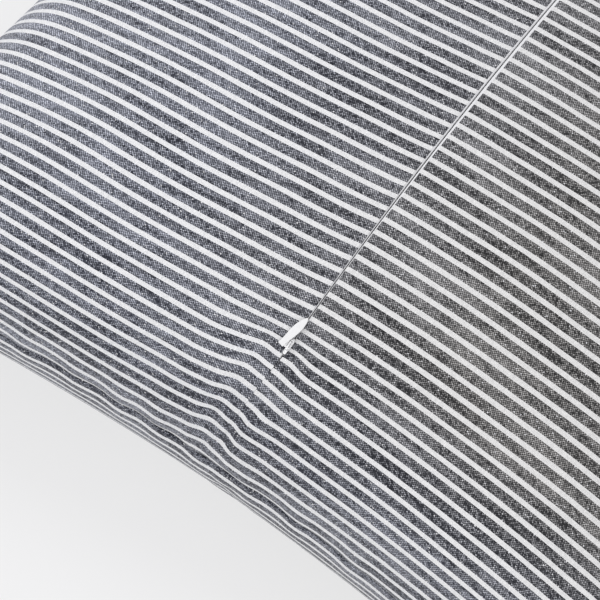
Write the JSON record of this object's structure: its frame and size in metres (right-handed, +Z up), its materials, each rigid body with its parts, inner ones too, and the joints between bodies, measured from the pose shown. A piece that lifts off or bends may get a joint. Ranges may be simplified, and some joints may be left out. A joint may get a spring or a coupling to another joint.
{
  "type": "throw pillow",
  "caption": "Square throw pillow in narrow woven stripes, with a centre back invisible zip, a travelling slider with a flip-over pull tab, and a filled insert.",
  "frame": {"origin": "middle of the pillow's base, on the surface it rests on", "axes": "+Z up through the thickness, +Y along the back zip away from its closed end, +X along the woven stripes"},
  "size_m": [0.481, 0.4802, 0.1684],
  "materials": {
    "cover_fabric": "plain weave, charcoal navy with off-white stripes",
    "sewing_thread": "spun polyester thread, matte",
    "zip_tape": "woven polyester tape, off-white",
    "zip_coil": "nylon coil, satin",
    "insert_casing": "non-woven polypropylene, white",
    "insert_fill": "carded polyester fibre, white",
    "slider_metal": "die-cast zinc, bright",
    "pull_enamel": "gloss white enamel"
  },
  "bodies": {
    "cover": {"front_panel": "cover_fabric", "back_panel_left": "cover_fabric", "back_panel_right": "cover_fabric", "back_fold_left": "cover_fabric", "back_fold_right": "cover_fabric", "edge_seam_allowance": "cover_fabric", "edge_seam_thread": "sewing_thread", "centre_seam_thread": "sewing_thread", "zip_stitching_left": "sewing_thread", "zip_stitching_right": "sewing_thread", "insert_seam_thread": "sewing_thread", "zip_tape_left": "zip_tape", "zip_tape_right": "zip_tape", "zip_coil_left": "zip_coil", "zip_coil_right": "zip_coil", "zip_top_stops": "zip_coil", "zip_bottom_stop": "zip_coil", "insert_casing_back": "insert_casing", "insert_casing_front": "insert_casing", "insert_fill": "insert_fill"},
    "slider": {"slider_body": "slider_metal", "slider_bridge": "slider_metal"},
    "pull": {"pull_tab": "pull_enamel", "pull_link": "slider_metal"}
  },
  "joints": [
    {"name": "slider_travel", "type": "hinge", "parent": "cover", "child": "slider", "pos_m": [0, 0, -0.3216], "axis": [-1, 0, 0], "range_deg": [0, 40]},
    {"name": "pull_flip", "type": "hinge", "parent": "slider", "child": "pull", "pos_m": [0, -0.17056, 0.13936], "axis": [1, 0, 0], "range_deg": [0, 170]}
  ]
}
